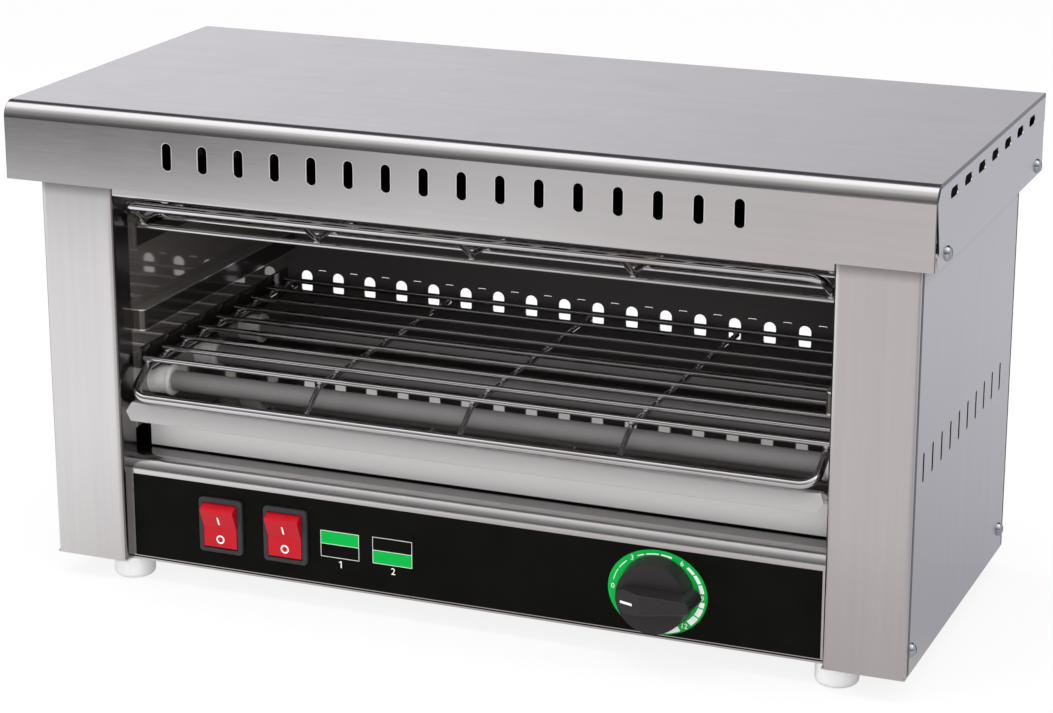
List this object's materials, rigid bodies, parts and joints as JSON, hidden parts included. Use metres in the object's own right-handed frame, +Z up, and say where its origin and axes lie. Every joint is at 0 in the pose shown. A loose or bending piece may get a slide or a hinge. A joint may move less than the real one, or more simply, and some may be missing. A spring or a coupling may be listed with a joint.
{
  "type": "commercial toaster",
  "caption": "Countertop stainless toaster-grill with an overhanging vented hood, quartz heaters, a pull-out wire rack, a crumb tray, rocker switches and a timer knob.",
  "frame": {"origin": "on the surface the feet stand on, midway along the overall width and depth", "axes": "+Z up, the open front faces -Y, +X to the viewer's right"},
  "size_m": [0.4908, 0.233, 0.26],
  "materials": {
    "stainless": "fine vertical grain",
    "polished": "mirror-polished sheet",
    "chrome_wire": "bright chrome",
    "zinc": "bright zinc",
    "overlay_black": "printed film",
    "switch_black": "fine grain",
    "rocker_red": "translucent red",
    "knob_black": "satin",
    "ceramic_white": "unglazed",
    "quartz": "frosted",
    "foot_plastic": "translucent white",
    "winding": "resistance alloy",
    "wire_sleeve": "silicone sleeve",
    "moulding": "moulded"
  },
  "bodies": {
    "cabinet": {"hood": "stainless", "left_side_panel": "stainless", "right_side_panel": "stainless", "left_front_post": "stainless", "right_front_post": "stainless", "upper_front_rail": "stainless", "rear_panel": "stainless", "base_plate": "stainless", "control_panel": "stainless", "tray_shelf": "stainless", "hood_spacers": "stainless", "chamber_left_wall": "polished", "chamber_right_wall": "polished", "chamber_ceiling": "polished", "rack_runners": "polished", "guard_runners": "polished", "spare_runners": "polished", "guard_rim": "chrome_wire", "guard_bars": "chrome_wire", "guard_cross_wires": "chrome_wire", "hood_screws": "zinc", "side_panel_screws": "zinc", "rear_panel_screws": "zinc", "foot_screws": "zinc", "timer_screws": "zinc", "bus_strips": "zinc", "fascia_overlay": "overlay_black", "switch_1_housing": "switch_black", "switch_2_housing": "switch_black", "lower_left_caps": "ceramic_white", "lower_right_caps": "ceramic_white", "upper_left_caps": "ceramic_white", "upper_right_caps": "ceramic_white", "terminal_block": "ceramic_white", "lower_front_tube": "quartz", "lower_middle_tube": "quartz", "lower_rear_tube": "quartz", "upper_front_tube": "quartz", "upper_middle_tube": "quartz", "upper_rear_tube": "quartz", "front_left_foot": "foot_plastic", "front_right_foot": "foot_plastic", "rear_left_foot": "foot_plastic", "rear_right_foot": "foot_plastic", "heater_windings": "winding", "wiring_loom": "wire_sleeve", "timer_body": "moulding", "cable_gland": "moulding", "gland_nut": "moulding"},
    "grill_rack": {"rack_rim": "chrome_wire", "rack_bars": "chrome_wire", "rack_cross_wires": "chrome_wire"},
    "crumb_drawer": {"crumb_tray": "stainless", "tray_front_lip": "stainless"},
    "rocker_1": {"switch_1_rocker": "rocker_red"},
    "rocker_2": {"switch_2_rocker": "rocker_red"},
    "timer_dial": {"timer_knob": "knob_black", "timer_shaft": "zinc"}
  },
  "joints": [
    {"name": "rack_slide", "type": "slide", "parent": "cabinet", "child": "grill_rack", "axis": [0, -1, 0], "range_m": [0, 0.18]},
    {"name": "tray_slide", "type": "slide", "parent": "cabinet", "child": "crumb_drawer", "axis": [0, -1, 0], "range_m": [0, 0.18]},
    {"name": "rocker_1_tilt", "type": "hinge", "parent": "cabinet", "child": "rocker_1", "pos_m": [-0.137, -0.0941, 0.038], "axis": [-1, 0, 0], "range_deg": [0, 24]},
    {"name": "rocker_2_tilt", "type": "hinge", "parent": "cabinet", "child": "rocker_2", "pos_m": [-0.0995, -0.0941, 0.038], "axis": [-1, 0, 0], "range_deg": [0, 24]},
    {"name": "timer_turn", "type": "hinge", "parent": "cabinet", "child": "timer_dial", "pos_m": [0.1049, -0.1015, 0.0367], "axis": [0, 1, 0], "range_deg": [0, 290]}
  ]
}
